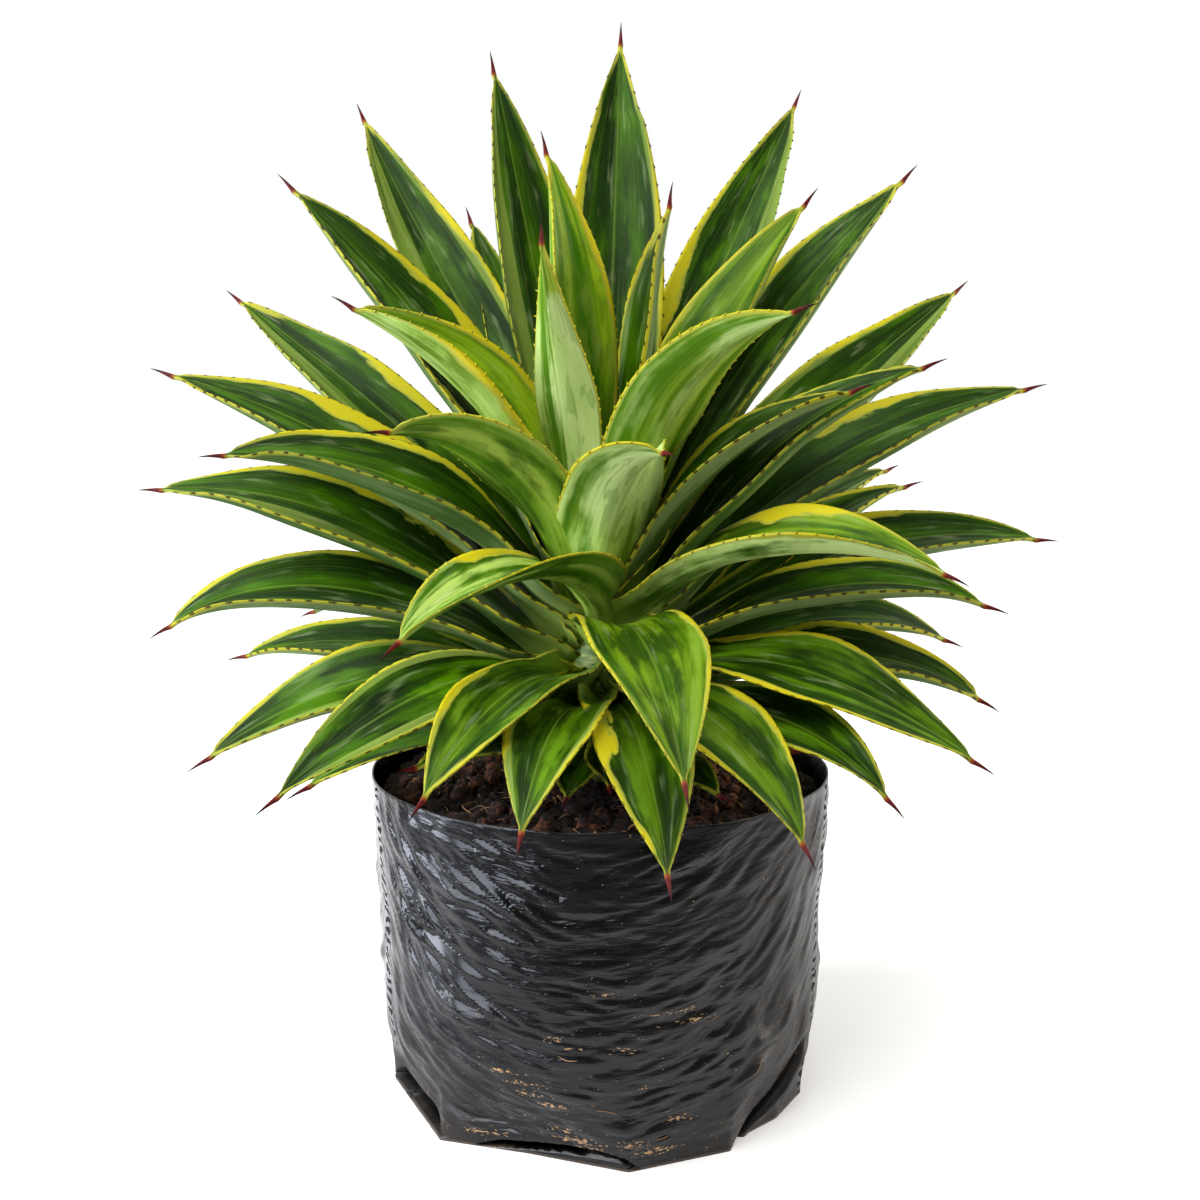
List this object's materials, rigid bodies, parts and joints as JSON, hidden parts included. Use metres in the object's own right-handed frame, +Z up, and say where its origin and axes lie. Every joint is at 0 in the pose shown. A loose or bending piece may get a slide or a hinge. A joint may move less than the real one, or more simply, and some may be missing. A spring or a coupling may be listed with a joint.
{
  "type": "variegated agave in a nursery grow bag",
  "caption": "Rosette of arching, channelled agave leaves with toothed yellow margins and dark end spines, on a short stem in a round black film grow bag filled with soil.",
  "frame": {"origin": "centre of the bag's flat bottom, on the surface it stands on", "axes": "+Z up, -Y towards the plant's front, +X to the right as seen from the front"},
  "size_m": [0.4809, 0.381, 0.54],
  "materials": {
    "bag_film": "creased black polythene film, glossy",
    "soil": "damp coir and compost, rough and matte",
    "stem": "pale fleshy stem, satin",
    "leaf": "waxy succulent leaf, dark green with yellow margins, satin"
  },
  "bodies": {
    "root": {"grow_bag": "bag_film", "soil": "soil", "stem": "stem", "leaf_01": "leaf", "leaf_02": "leaf", "leaf_03": "leaf", "leaf_04": "leaf", "leaf_05": "leaf", "leaf_06": "leaf", "leaf_07": "leaf", "leaf_08": "leaf", "leaf_09": "leaf", "leaf_10": "leaf", "leaf_11": "leaf", "leaf_12": "leaf", "leaf_13": "leaf", "leaf_14": "leaf", "leaf_15": "leaf", "leaf_16": "leaf", "leaf_17": "leaf", "leaf_18": "leaf", "leaf_19": "leaf", "leaf_20": "leaf", "leaf_21": "leaf", "leaf_22": "leaf", "leaf_23": "leaf", "leaf_24": "leaf", "leaf_25": "leaf", "leaf_26": "leaf", "leaf_27": "leaf", "leaf_28": "leaf", "leaf_29": "leaf", "leaf_30": "leaf", "leaf_31": "leaf", "leaf_32": "leaf", "leaf_33": "leaf", "leaf_34": "leaf", "leaf_35": "leaf", "leaf_36": "leaf", "leaf_37": "leaf", "leaf_38": "leaf", "leaf_39": "leaf", "leaf_40": "leaf", "leaf_41": "leaf", "leaf_42": "leaf", "leaf_43": "leaf", "leaf_44": "leaf", "leaf_45": "leaf", "leaf_46": "leaf", "leaf_47": "leaf", "leaf_48": "leaf", "leaf_49": "leaf", "leaf_50": "leaf", "leaf_51": "leaf", "leaf_52": "leaf", "leaf_53": "leaf", "leaf_54": "leaf", "leaf_55": "leaf", "leaf_56": "leaf", "leaf_57": "leaf"}
  },
  "joints": []
}
